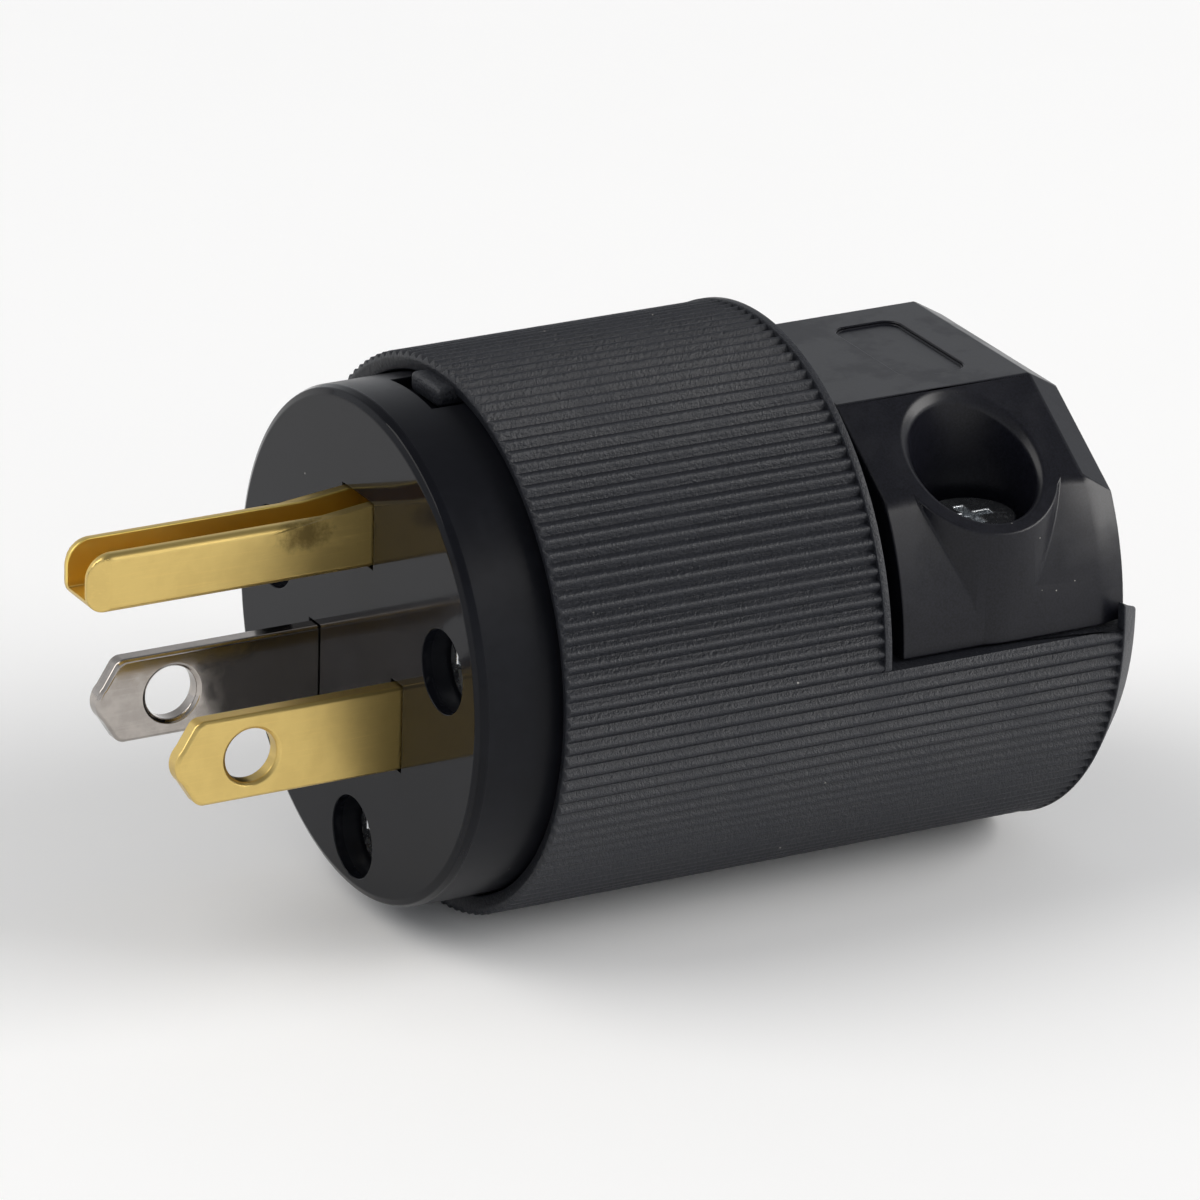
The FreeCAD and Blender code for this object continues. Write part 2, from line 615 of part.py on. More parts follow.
def build_nodes():
    """Every piece of the plug by its node name."""
    nodes = {
        "body_shell": body_shell(),
        "contact_carrier": contact_carrier(),
        "terminal_block": terminal_block(),
        "wire_retainer": wire_retainer(),
        "hot_blade": flat_blade(1),
        "neutral_blade": flat_blade(-1),
        "ground_blade": ground_blade(),
        "cord_clamp": cord_clamp(),
    }
    for name, (point, axis, sheet) in terminal_frames().items():
        nodes[name + "_terminal_screw"] = terminal_screw(point, axis, sheet)
        nodes[name + "_wire_plate"] = clamp_plate(point, axis)
    for name, point in SCREW_POINTS.items():
        nodes[name + "_assembly_screw"] = assembly_screw(point)
    for name, point in WELL_POINTS.items():
        nodes[name + "_clamp_screw"] = clamp_screw(point)
    return nodes


def main():
    os.makedirs("parts", exist_ok=True)
    for name, shape in build_nodes().items():
        shape.exportStep(f"parts/{name}.step")


main()
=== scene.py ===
import math

import bmesh
import bpy
import numpy as np
from bpy.props import FloatProperty, FloatVectorProperty, IntProperty, PointerProperty
from bpy.types import Operator, Panel, PropertyGroup
from mathutils import Matrix, Vector


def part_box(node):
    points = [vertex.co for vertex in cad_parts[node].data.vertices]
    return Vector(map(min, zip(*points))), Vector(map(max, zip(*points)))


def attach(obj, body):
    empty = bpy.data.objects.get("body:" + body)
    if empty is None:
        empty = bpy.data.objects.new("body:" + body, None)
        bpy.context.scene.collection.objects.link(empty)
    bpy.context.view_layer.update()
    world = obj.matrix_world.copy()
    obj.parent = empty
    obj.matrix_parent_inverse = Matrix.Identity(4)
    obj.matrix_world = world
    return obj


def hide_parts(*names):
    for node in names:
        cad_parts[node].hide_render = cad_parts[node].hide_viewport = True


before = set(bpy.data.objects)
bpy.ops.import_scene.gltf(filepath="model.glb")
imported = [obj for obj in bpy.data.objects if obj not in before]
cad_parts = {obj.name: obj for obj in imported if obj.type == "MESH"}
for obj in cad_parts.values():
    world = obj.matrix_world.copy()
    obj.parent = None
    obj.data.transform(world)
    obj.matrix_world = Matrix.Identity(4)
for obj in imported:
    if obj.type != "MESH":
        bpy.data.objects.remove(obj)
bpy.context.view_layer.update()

bl_info = {
    "name": "Grounded wiring plug",
    "version": (1, 0, 0),
    "blender": (4, 5, 0),
    "location": "View3D > Sidebar > Plug",
    "description": "Ribbed barrel, cord clamp, glossy face and metal blades of a grounded plug",
    "category": "Add Mesh",
}

MM = 0.001
shell_low, shell_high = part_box("body_shell")
clamp_low, clamp_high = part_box("cord_clamp")

# Fixed sizes in millimetres
REAR_BEYOND = 1.36  # how far the barrel's rear end reaches past the solid's
SEAT_Y = 9.0  # the carrier's seat, where the wiring space begins
SPACE_RADIUS = 16.9
SPACE_END = 29.6
RIM_WIDTH = 0.6
RIDGE_PITCH = 4.6
EAR_HEIGHT = 2.0
EAR_WALL = 0.45  # at its thinnest
KEY_HALF_WIDTH = 2.15
KEY_HALF_HEIGHT = 0.75
KEY_Z = 18.7
BOSS_RADIUS = 3.5
BOSS_FRONT_Y = 23.0
FOLD_HALF_GAP = 1.4  # between the ground blade's walls
FOLD_FLOOR_Z = 7.77

# Lengths in metres and angles in degrees at which points and triangles are joined and lines are found
SAME_PLACE = 1e-8
JOIN_DISTANCE = 2e-6
SPECK_LENGTH = 1e-6
FLAT_ANGLE = 0.5
LINE_ANGLE = 15
BARREL_SHARP_ANGLE = 38

# Colours of dust, spots and light
DUST = (0.30, 0.29, 0.27, 1.0)
FACE_DUST = (0.22, 0.22, 0.21, 1.0)
DARK_SPOT = (0.1, 0.08, 0.06, 1.0)
SKY_COLOUR = (0.945, 0.967, 1.0, 1.0)
LAMP_COLOUR = (1.0, 0.98, 0.955)


class PlugBarrelSizes(PropertyGroup):
    """Sizes of the ribbed barrel."""

    rib_count: IntProperty(
        name="Ribs", description="Ribs round the barrel, an even number", default=126, min=2
    )
    rib_columns: IntProperty(name="Columns per rib", description="Points across one rib", default=10, min=4)
    rib_depth: FloatProperty(
        name="Rib depth", description="From valley to crest", default=0.00036, unit="LENGTH", precision=5
    )
    rib_power: FloatProperty(
        name="Rib fullness",
        description="Lower gives a broader crest and a narrower valley",
        default=0.75,
        min=0.3,
    )
    root_radius: FloatProperty(
        name="Root radius", description="Radius at the valleys", default=0.0200, unit="LENGTH", precision=5
    )
    band_radius: FloatProperty(
        name="Band radius",
        description="Radius of the plain bands at the notch and at the rear",
        default=shell_high.x,
        unit="LENGTH",
        precision=5,
    )
    mouth_radius: FloatProperty(
        name="Mouth radius",
        description="Bore round the carrier",
        default=0.01895,
        unit="LENGTH",
        precision=5,
    )
    mouth_y: FloatProperty(
        name="Mouth", description="Where the ribs begin", default=0.0062, unit="LENGTH", precision=5
    )
    notch_y: FloatProperty(
        name="Notch",
        description="The wall in front of the clamp",
        default=0.0321,
        unit="LENGTH",
        precision=5,
    )
    rear_y: FloatProperty(
        name="Rear",
        description="Rear end of the barrel",
        default=shell_high.y + REAR_BEYOND * MM,
        unit="LENGTH",
        precision=5,
    )
    rear_chamfer: FloatProperty(
        name="Rear chamfer",
        description="From the ribs' end to the rear",
        default=0.0024,
        unit="LENGTH",
        precision=5,
    )
    jaw_radius: FloatProperty(
        name="Jaw bore", description="Radius of the cord's way", default=0.006, unit="LENGTH", precision=5
    )


class PlugFinishes(PropertyGroup):
    """Colours of the plug's finishes."""

    nylon: FloatVectorProperty(
        name="Nylon", description="Barrel", default=(0.0100, 0.0112, 0.0155), subtype="COLOR", min=0, max=1
    )
    clamp: FloatVectorProperty(
        name="Clamp",
        description="Cord clamp",
        default=(0.0054, 0.0056, 0.0086),
        subtype="COLOR",
        min=0,
        max=1,
    )
    carrier: FloatVectorProperty(
        name="Carrier",
        description="Glossy face",
        default=(0.0060, 0.0064, 0.0086),
        subtype="COLOR",
        min=0,
        max=1,
    )
    brass: FloatVectorProperty(
        name="Brass",
        description="Hot and ground blades",
        default=(0.70, 0.515, 0.18),
        subtype="COLOR",
        min=0,
        max=1,
    )
    tarnish: FloatVectorProperty(
        name="Tarnish",
        description="Darkened brass",
        default=(0.28, 0.185, 0.06),
        subtype="COLOR",
        min=0,
        max=1,
    )
    # Painted light: a brighter brass for the inside of the ground blade's channel, standing for light that
    # reaches in there.
    painted_fold_light: FloatVectorProperty(
        name="Fold",
        description="Inside of the ground blade",
        default=(0.91, 0.69, 0.19),
        subtype="COLOR",
        min=0,
        max=1,
    )
    nickel: FloatVectorProperty(
        name="Nickel",
        description="Neutral blade",
        default=(0.44, 0.405, 0.375),
        subtype="COLOR",
        min=0,
        max=1,
    )
    zinc: FloatVectorProperty(
        name="Zinc",
        description="Screws and plates",
        default=(0.66, 0.68, 0.70),
        subtype="COLOR",
        min=0,
        max=1,
    )
    green: FloatVectorProperty(
        name="Ground screw",
        description="Lacquer",
        default=(0.05, 0.30, 0.12),
        subtype="COLOR",
        min=0,
        max=1,
    )


class PlugStageSizes(PropertyGroup):
    """Camera, floor and light."""

    azimuth: FloatProperty(
        name="Azimuth",
        description="Camera's turn round the plug",
        default=math.radians(60.939),
        subtype="ANGLE",
    )
    elevation: FloatProperty(
        name="Elevation", description="Camera's height angle", default=math.radians(21.847), subtype="ANGLE"
    )
    roll: FloatProperty(
        name="Roll", description="Camera's roll", default=math.radians(1.567), subtype="ANGLE"
    )
    distance: FloatProperty(
        name="Distance",
        description="From the camera to the face's plane of view",
        default=0.680677,
        unit="LENGTH",
    )
    lens: FloatProperty(name="Lens", description="Focal length", default=288.308, unit="CAMERA")
    face_across: FloatProperty(
        name="Face across",
        description="Where the face's centre lies across the picture",
        default=0.29616,
        subtype="FACTOR",
    )
    face_down: FloatProperty(
        name="Face down",
        description="Where the face's centre lies down the picture",
        default=0.53947,
        subtype="FACTOR",
    )
    floor: FloatVectorProperty(
        name="Floor",
        description="Floor colour",
        default=(0.985, 0.985, 0.985),
        subtype="COLOR",
        min=0,
        max=1,
    )
    floor_size: FloatProperty(
        name="Floor size", description="Half the floor's side", default=3.0, unit="LENGTH"
    )
    horizon: FloatProperty(name="Horizon", description="Sky brightness at the horizon", default=0.85, min=0)
    zenith: FloatProperty(name="Zenith", description="Sky brightness overhead", default=0.22, min=0)
    front_power: FloatProperty(
        name="Front lamp", description="Power of the front lamp", default=18.0, unit="POWER"
    )
    rear_power: FloatProperty(
        name="Rear lamp", description="Power of the rear lamp", default=27.0, unit="POWER"
    )


# Grids and meshes


def grid_quads(points, wrap_rows, wrap_columns):
    """Quads of a grid of points: each joins four neighbours, and a wrapped direction closes on itself."""
    rows, columns = points.shape[:2]
    index = np.arange(rows * columns).reshape(rows, columns)
    row = np.arange(rows if wrap_rows else rows - 1)
    column = np.arange(columns if wrap_columns else columns - 1)
    near, far = index[row], index[(row + 1) % rows]
    after = (column + 1) % columns
    corners = [near[:, column], far[:, column], far[:, after], near[:, after]]
    return np.stack(corners, axis=-1).reshape(-1, 4)


def capped(sections):
    """Sections along a path with a pole added at both ends: the mean of the end section, repeated."""
    first = np.broadcast_to(sections[:1].mean(axis=1, keepdims=True), sections[:1].shape)
    last = np.broadcast_to(sections[-1:].mean(axis=1, keepdims=True), sections[-1:].shape)
    return np.concatenate([first, sections, last])


def closed_skin(points, wrap_rows):
    """Vertices and faces of a closed grid: points that coincide become one, collapsed quads go or become
    triangles, and the faces are turned so that the enclosed volume is positive."""
    quads = grid_quads(points, wrap_rows, True)
    flat = points.reshape(-1, 3)
    keys = np.round(flat / SAME_PLACE).astype(np.int64)
    first, back = np.unique(keys, axis=0, return_index=True, return_inverse=True)[1:]
    quads = back.reshape(-1)[quads]
    flat = flat[first]
    same = quads == np.roll(quads, -1, axis=1)
    count = same.sum(axis=1)
    whole = quads[count == 0]
    whole = whole[(whole[:, 0] != whole[:, 2]) & (whole[:, 1] != whole[:, 3])]
    slim = quads[count == 1][~same[count == 1]].reshape(-1, 3)
    slim = slim[(slim[:, 0] != slim[:, 1]) & (slim[:, 1] != slim[:, 2]) & (slim[:, 2] != slim[:, 0])]
    fans = np.concatenate([whole[:, [0, 1, 2]], whole[:, [0, 2, 3]], slim])
    a, b, c = (flat[fans[:, corner]] for corner in range(3))
    if np.einsum("ij,ij->", a, np.cross(b, c)) < 0:
        whole = whole[:, ::-1]
        slim = slim[:, ::-1]
    used, order = np.unique(np.concatenate([whole.reshape(-1), slim.reshape(-1)]), return_inverse=True)
    whole = order[: whole.size].reshape(-1, 4)
    slim = order[order.size - slim.size:].reshape(-1, 3)
    return flat[used], whole, slim


def mesh_object(name, skins, sharp_angle):
    """One mesh object from several closed skins, shaded smooth except over edges sharper than an angle."""
    starts = np.cumsum([0] + [len(skin[0]) for skin in skins])
    points = np.concatenate([skin[0] for skin in skins])
    faces = []
    for start, (_, whole, slim) in zip(starts, skins):
        faces += (whole + start).tolist() + (slim + start).tolist()
    mesh = bpy.data.meshes.new(name)
    mesh.from_pydata(points.tolist(), [], faces)
    mesh.shade_smooth()
    mesh.set_sharp_from_angle(angle=math.radians(sharp_angle))
    mesh.validate()
    piece = bpy.data.objects.new(name, mesh)
    bpy.context.collection.objects.link(piece)
    return piece


def coat(piece, finish):
    """Gives a piece one finish all over."""
    piece.data.materials.clear()
    piece.data.materials.append(finish)


def seat(piece, body, slot, finish, *nodes):
    """Gives a finished piece its material and the body it moves with, and hides the nodes it stands for. Its
    slot is not used.
    """
    coat(piece, finish)
    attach(piece, body)
    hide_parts(*nodes)


def merged_copy(node, name):
    """A copy of a node's mesh with its loose triangles joined and its flat fans made single faces."""
    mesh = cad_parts[node].data.copy()
    mesh.name = name
    work = bmesh.new()
    work.from_mesh(mesh)
    bmesh.ops.remove_doubles(work, verts=work.verts, dist=JOIN_DISTANCE)
    bmesh.ops.dissolve_degenerate(work, edges=work.edges, dist=SPECK_LENGTH)
    bmesh.ops.dissolve_limit(work, angle_limit=math.radians(FLAT_ANGLE), verts=work.verts, edges=work.edges)
    work.to_mesh(mesh)
    work.free()
    if mesh.has_custom_normals:
        mesh.attributes.remove(mesh.attributes["custom_normal"])
    mesh.shade_smooth()
    piece = bpy.data.objects.new(name, mesh)
    bpy.context.collection.objects.link(piece)
    return piece


def ease_edges(piece, width, segments, angle):
    """Rounds the edges of a piece that are sharper than an angle."""
    bevel = piece.modifiers.new("Eased edges", "BEVEL")
    bevel.width = width
    bevel.segments = segments
    bevel.limit_method = "ANGLE"
    bevel.angle_limit = math.radians(angle)
    bevel.use_clamp_overlap = False
    bevel.harden_normals = True


def round_edges(mesh, chosen, width, segments):
    """Rounds the edges of a mesh that a test chooses, out of those that turn by more than LINE_ANGLE."""
    work = bmesh.new()
    work.from_mesh(mesh)
    least = math.radians(LINE_ANGLE)
    edges = [edge for edge in work.edges if chosen(edge) and edge.calc_face_angle(0) > least]
    bmesh.ops.bevel(
        work,
        geom=edges,
        offset=width,
        segments=segments,
        profile=0.5,
        affect="EDGES",
        clamp_overlap=True,
    )
    work.to_mesh(mesh)
    work.free()
    mesh.shade_smooth()


def round_well_mouth(mesh, middle, inner, outer, width):
    """Rounds the edges round the mouth of an upright well, between an inner and an outer radius about its
    axis."""

    def on_mouth(edge):
        reach = [(vert.co.xy - middle.xy).length for vert in edge.verts]
        level = min(vert.co.z for vert in edge.verts)
        return inner < min(reach) and max(reach) < outer and level > middle.z

    round_edges(mesh, on_mouth, width, segments=3)


def round_tip(mesh, behind, width):
    """Rounds the corners of a flat blade's tip, in front of a place along the plug: the edges across its
    thickness."""
    shortest = 0.05 * MM

    def across_tip(edge):
        start, end = (vert.co for vert in edge.verts)
        return abs(start.x - end.x) > shortest and max(start.y, end.y) < behind

    round_edges(mesh, across_tip, width, segments=4)


def crisp_lines(mesh, low, high):
    """Keeps the shading crisp over the shallow lines of a piece: edges that turn by between two angles."""
    work = bmesh.new()
    work.from_mesh(mesh)
    for edge in work.edges:
        if math.radians(low) < edge.calc_face_angle(0) < math.radians(high):
            edge.smooth = False
    work.to_mesh(mesh)
    work.free()


def keep_flats(piece):
    """Keeps the large faces of a piece flat in shading."""
    normals = piece.modifiers.new("Flat faces", "WEIGHTED_NORMAL")
    normals.weight = 100
    normals.keep_sharp = True


# Shapes


def rear_edge(sizes):
    """Rows of the rear edge as (radius, y): a narrow plain band with eased corners, then a cone in to the
    rear end."""
    plain_band = 0.12 * MM
    run = np.array([0.0, 0.01, 0.05, 0.1, 0.2, 0.9, 1.6, 2.3, 2.4]) / 2.4 * sizes.rear_chamfer
    ease = np.array([0.06, 0.02, 0, 0, 0, 0, 0, 0.02, 0.1]) * MM
    drop = np.clip(run - plain_band, 0.0, None) + ease
    return np.stack([sizes.band_radius - drop, sizes.rear_y - sizes.rear_chamfer + run], axis=1)


def barrel_rows(sizes):
    """Rows of the barrel's wall in section, as arrays of (radius, y) in metres for the upper and the lower
    half. A row that follows the ribs has a radius beyond the bands', which the ribs cut down. Both halves
    have the same rows as far as the notch and in the wiring space. Between them the upper half comes in
    along the notch wall, and the lower half runs on to the rear and comes back along the jaw bore."""
    mouth, mouth_y, jaw = sizes.mouth_radius / MM, sizes.mouth_y / MM, sizes.jaw_radius / MM
    root, band = sizes.root_radius / MM, sizes.band_radius / MM
    notch, rear = sizes.notch_y / MM, sizes.rear_y / MM
    beyond = band + 1.0
    front = np.array(
        [
            (mouth, SEAT_Y), (mouth, mouth_y + 0.42), (mouth + 0.04, mouth_y + 0.32),
            (mouth + 0.12, mouth_y + 0.26), (root - 0.2, mouth_y + 0.03), (root - 0.08, mouth_y),
        ]
    )
    rise = np.array([0.0, 0.03, 0.12, 0.26, 0.46, 0.72, 1.0])
    tips = np.stack([root + 0.02 + 0.4 * (1 - (1 - rise) ** 2), mouth_y + 0.04 + 0.2 * rise], axis=1)
    rib_y = np.array([mouth_y + 1.0, 19.0, 31.0, notch - 0.61, notch - 0.57])
    ribs = np.stack([np.full(len(rib_y), beyond), rib_y], axis=1)
    rim_y = notch - np.array([0.55, 0.54, 0.5, 0.06, 0.02, 0.0])
    rim = np.stack([band - np.array([0.06, 0.02, 0.0, 0.0, 0.02, 0.06]), rim_y], axis=1)
    plain_rim = np.stack([np.full(len(rim_y), beyond), rim_y], axis=1)
    edge = rear_edge(sizes) / MM
    lead_y = np.array([notch + 6, notch + 12, edge[0, 1] - 0.5, edge[0, 1] - 0.06])
    lead = np.stack([np.full(len(lead_y), beyond), lead_y], axis=1)
    inside = np.array(
        [
            (15.0, rear), (12.0, rear), (9.0, rear), (jaw + 0.3, rear),
            (jaw + 0.12, rear - 0.01), (jaw + 0.02, rear - 0.08), (jaw, rear - 0.2),
            (jaw, 46.0), (jaw, 40.0), (jaw, 34.0),
        ]
    )
    tail = np.concatenate([lead, edge, inside])
    wall = np.stack([np.linspace(root - 0.4, jaw + 0.12, len(tail)), np.full(len(tail), notch)], axis=1)
    upper_bore = np.array([(jaw + 0.04, notch - 0.01), (jaw, notch - 0.06)])
    lower_bore = np.array([(jaw, notch - 0.01), (jaw, notch - 0.06)])
    space = np.array(
        [
            (jaw, 31.0), (jaw, SPACE_END + 0.06), (jaw + 0.06, SPACE_END),
            (SPACE_RADIUS - 0.1, SPACE_END), (SPACE_RADIUS, SPACE_END - 0.1),
            (SPACE_RADIUS, SEAT_Y + 0.1), (SPACE_RADIUS + 0.1, SEAT_Y),
        ]
    )
    upper = np.concatenate([front, tips, ribs, rim, wall, upper_bore, space])
    lower = np.concatenate([front, tips, ribs, plain_rim, tail, lower_bore, space])
    return upper * MM, lower * MM


def barrel_skin(sizes):
    """The barrel as one closed surface of turn and section row. The radius of a row is the smaller of its
    own and the rib's, root + depth * sin(pi p) ** (2 power), where p runs from 0 to 1 across a rib from
    valley to valley. The upper half turn and the lower half turn each have their own rows, and where they
    meet the jump between the two sections is the flat floor of the notch. The plain rim in front of the
    notch fades into the ribs at that floor."""
    rim_fade = 0.02  # radians
    steps = sizes.rib_count * sizes.rib_columns // 2
    turn = np.linspace(0.0, math.pi, steps + 1)
    share = np.arange(steps + 1) / sizes.rib_columns % 1.0
    rib = sizes.root_radius + sizes.rib_depth * np.sin(math.pi * share) ** (2 * sizes.rib_power)
    halves = []
    for start, rows in zip((0.0, math.pi), barrel_rows(sizes)):
        radius, y = rows[:, :1], rows[:, 1:]
        own = np.minimum(radius, np.where(radius > sizes.root_radius, rib, np.inf))
        if start == 0.0:
            near_floor = np.clip(1 - np.minimum(turn, math.pi - turn) / rim_fade, 0, 1)
            on_rim = (radius > sizes.root_radius + sizes.rib_depth / 2) & (radius <= sizes.band_radius)
            on_rim &= y > sizes.notch_y - RIM_WIDTH * MM
            own = np.where(on_rim, radius + (rib - radius) * near_floor, own)
        else:
            tail_start = sizes.rear_y - sizes.rear_chamfer - 0.03 * MM
            own = np.where((radius <= sizes.band_radius) & (y > tail_start), radius, own)
        angle = start + turn
        along = np.broadcast_to(y, own.shape)
        halves.append(np.stack([own * np.cos(angle), along, own * np.sin(angle)], axis=-1))
    return closed_skin(np.concatenate(halves, axis=1).transpose(1, 0, 2), True)


def carried(x, y, z):
    """A closed skin of sections carried along the barrel: x and z lie across a section, y is its place."""
    return closed_skin(capped(np.stack([x, np.broadcast_to(y[:, None], x.shape), z], axis=-1)), False)


def ear_skin(sizes, side):
    """An upright ear beside the clamp's rear: sections along the barrel, each an arc of the rear band
    closed by a straight inner side, with eased corners. Its top falls towards the rear."""
    ease, gap, fall = 0.1 * MM, 0.3 * MM, 0.6
    radius, y = rear_edge(sizes).T
    top = EAR_HEIGHT * MM - fall * (y - y[0])[:, None]
    low = np.full_like(top, -ease)
    height = low + (top - ease - low) * np.linspace(0, 1, 7)
    outer_x = np.sqrt(radius[:, None] ** 2 - height ** 2)
    inner = np.minimum(clamp_high.x + gap, radius - EAR_WALL * MM)
    inner_x = inner[:, None] + np.array([ease, 0.0, 0.0])
    x = np.concatenate([outer_x, outer_x[:, -1:] - ease, inner_x], axis=1)
    z = np.concatenate([height, top, top, top - ease, low], axis=1)
    return carried(side * x, y, z)


def key_skin():
    """The key tooth: a superellipse section carried along the barrel, drawn in at its front end. Across it
    is the half width times a power of the turn's cosine, and up it the half height times one of its sine."""
    across_power, up_power = 0.22, 0.35
    turn = np.linspace(0, 2 * math.pi, 48, endpoint=False)
    across = KEY_HALF_WIDTH * np.sign(np.cos(turn)) * np.abs(np.cos(turn)) ** across_power
    up = KEY_HALF_HEIGHT * np.sign(np.sin(turn)) * np.abs(np.sin(turn)) ** up_power
    y = np.array([5.1, 5.13, 5.2, 5.32, 5.5, 8.9])
    draw = np.array([0.3, 0.2, 0.1, 0.03, 0.0, 0.0])[:, None]
    x = across * (1 - draw / KEY_HALF_WIDTH)
    z = KEY_Z + up * (1 - draw / KEY_HALF_HEIGHT)
    return carried(x * MM, y * MM, z * MM)


def ridge_skin(sizes, middle):
    """A cord ridge of the lower jaw: an eased bar section swept half a turn about the plug's axis."""
    turn = np.linspace(math.pi, 2 * math.pi, 49)[:, None]
    radius = sizes.jaw_radius + np.array([0.4, -0.52, -0.6, -0.6, -0.52, 0.4]) * MM
    along = middle + np.array([-0.65, -0.65, -0.56, 0.56, 0.65, 0.65]) * MM
    x = radius * np.cos(turn)
    sections = np.stack([x, np.broadcast_to(along, x.shape), radius * np.sin(turn)], axis=-1)
    return closed_skin(capped(sections), False)


def boss_skin(centre):
    """A screw boss in the wiring space: a circle carried along the barrel, with an eased front edge."""
    turn = np.linspace(0, 2 * math.pi, 40, endpoint=False)
    y = np.array([BOSS_FRONT_Y, BOSS_FRONT_Y + 0.1, SPACE_END + 0.05]) * MM
    radius = np.array([BOSS_RADIUS - 0.1, BOSS_RADIUS, BOSS_RADIUS])[:, None] * MM
    return carried(centre.x + radius * np.cos(turn), y, centre.z + radius * np.sin(turn))


# Finishes


class Nodes:
    """A short way to add and join the nodes of a tree. What a socket is given is a number, a colour, a
    vector or the output of another node."""

    def __init__(self, tree):
        self.tree = tree

    def add(self, kind, **values):
        node = self.tree.nodes.new(kind)
        for name, value in values.items():
            setattr(node, name, value)
        return node

    def join(self, source, target):
        self.tree.links.new(source, target)

    def give(self, node, values):
        for name, value in values.items():
            if isinstance(value, bpy.types.NodeSocket):
                self.join(value, node.inputs[name])
            else:
                node.inputs[name].default_value = value

    def math(self, operation, *values):
        node = self.add("ShaderNodeMath", operation=operation)
        self.give(node, dict(enumerate(values)))
        return node.outputs[0]

    def times(self, first, second):
        return self.math("MULTIPLY", first, second)

    def span(self, value, low, high, to_low=0.0, to_high=1.0):
        node = self.add("ShaderNodeMapRange", interpolation_type="SMOOTHSTEP")
        ends = {"From Min": low, "From Max": high, "To Min": to_low, "To Max": to_high}
        self.give(node, {"Value": value, **ends})
        return node.outputs["Result"]

    def noise(self, place, scale, detail, rough):
        node = self.add("ShaderNodeTexNoise")
        self.give(node, {"Vector": place, "Scale": scale, "Detail": detail, "Roughness": rough})
        return node.outputs["Fac"]

    def stretched(self, place, scale, shift=(0, 0, 0)):
        node = self.add("ShaderNodeMapping")
        self.give(node, {"Vector": place, "Location": shift, "Scale": scale})
        return node.outputs["Vector"]

    def axes(self, place):
        node = self.add("ShaderNodeSeparateXYZ")
        self.join(place, node.inputs["Vector"])
        return node.outputs

    def mix(self, share, first, second):
        node = self.add("ShaderNodeMix", data_type="RGBA")
        self.give(node, {0: share, 6: first, 7: second})
        return node.outputs[2]


def fill_grain(nodes, given):
    """Two sizes of fine mould texture added as a height, and the finer one as a shade."""
    scale = nodes.math("DIVIDE", 1.0, given["Size"])
    coarse = nodes.noise(given["Place"], scale, detail=3.0, rough=0.6)
    fine = nodes.noise(given["Place"], nodes.times(scale, 2.7), detail=2.0, rough=0.5)
    height = nodes.math("ADD", nodes.times(coarse, 0.65), nodes.times(fine, 0.35))
    return {"Height": height, "Shade": nodes.span(fine, 0.3, 0.7)}


def fill_specks(nodes, given):
    """Sparse round specks: cells of a Voronoi pattern, kept where the cell's random value is high."""
    cells = nodes.add("ShaderNodeTexVoronoi", feature="F1")
    nodes.give(cells, {"Vector": given["Place"], "Scale": nodes.math("DIVIDE", 1.0, given["Spacing"])})
    chosen = nodes.add("ShaderNodeSeparateColor")
    nodes.join(cells.outputs["Color"], chosen.inputs["Color"])
    kept = nodes.math("GREATER_THAN", chosen.outputs["Red"], nodes.math("SUBTRACT", 1.0, given["Share"]))
    size = nodes.times(given["Radius"], nodes.math("ADD", chosen.outputs["Green"], 0.35))
    near = nodes.span(cells.outputs["Distance"], nodes.times(size, 0.6), size, 1.0, 0.0)
    return {"Mask": nodes.times(kept, near)}


def fill_mottle(nodes, given):
    """Uneven cloudy cover: two sizes of noise, cut at a level that the cover sets."""
    scale = nodes.math("DIVIDE", 1.0, given["Size"])
    broad = nodes.noise(given["Place"], scale, detail=4.0, rough=0.62)
    small = nodes.noise(given["Place"], nodes.times(scale, 4.3), detail=3.0, rough=0.6)
    both = nodes.math("ADD", nodes.times(broad, 0.7), nodes.times(small, 0.3))
    level = nodes.math("SUBTRACT", 0.78, nodes.times(given["Cover"], 0.5))
    return {"Mask": nodes.span(both, nodes.math("SUBTRACT", level, 0.1), nodes.math("ADD", level, 0.1))}


def fill_lines(nodes, given):
    """Fine drawn lines: noise stretched along the plug's axis, cut to its thin peaks."""
    drawn = nodes.stretched(given["Place"], (9.0, 0.22, 9.0))
    rough = nodes.noise(drawn, 1.0, detail=3.0, rough=0.65)
    return {"Mask": nodes.span(rough, 0.5, 0.72), "Height": rough}


# The numbers that each shared effect takes beside its place, what it puts out and what fills it
EFFECTS = {
    "Mould grain": ({"Size": 0.3}, ("Height", "Shade"), fill_grain),
    "Dust specks": ({"Spacing": 1.5, "Share": 0.2, "Radius": 0.05}, ("Mask",), fill_specks),
    "Cloudy cover": ({"Size": 3.0, "Cover": 0.5}, ("Mask",), fill_mottle),
    "Drawn lines": ({}, ("Mask", "Height"), fill_lines),
}


def effect(name):
    """A shader node group with named sockets, filled once and shared by the finishes that use it."""
    if name in bpy.data.node_groups:
        return bpy.data.node_groups[name]
    numbers, results, fill = EFFECTS[name]
    tree = bpy.data.node_groups.new(name, "ShaderNodeTree")
    tree.interface.new_socket("Place", in_out="INPUT", socket_type="NodeSocketVector")
    for label, value in numbers.items():
        socket = tree.interface.new_socket(label, in_out="INPUT", socket_type="NodeSocketFloat")
        socket.default_value = value
    for label in results:
        tree.interface.new_socket(label, in_out="OUTPUT", socket_type="NodeSocketFloat")
    nodes = Nodes(tree)
    given = nodes.add("NodeGroupInput").outputs
    nodes.give(nodes.add("NodeGroupOutput"), fill(nodes, given))
    return tree


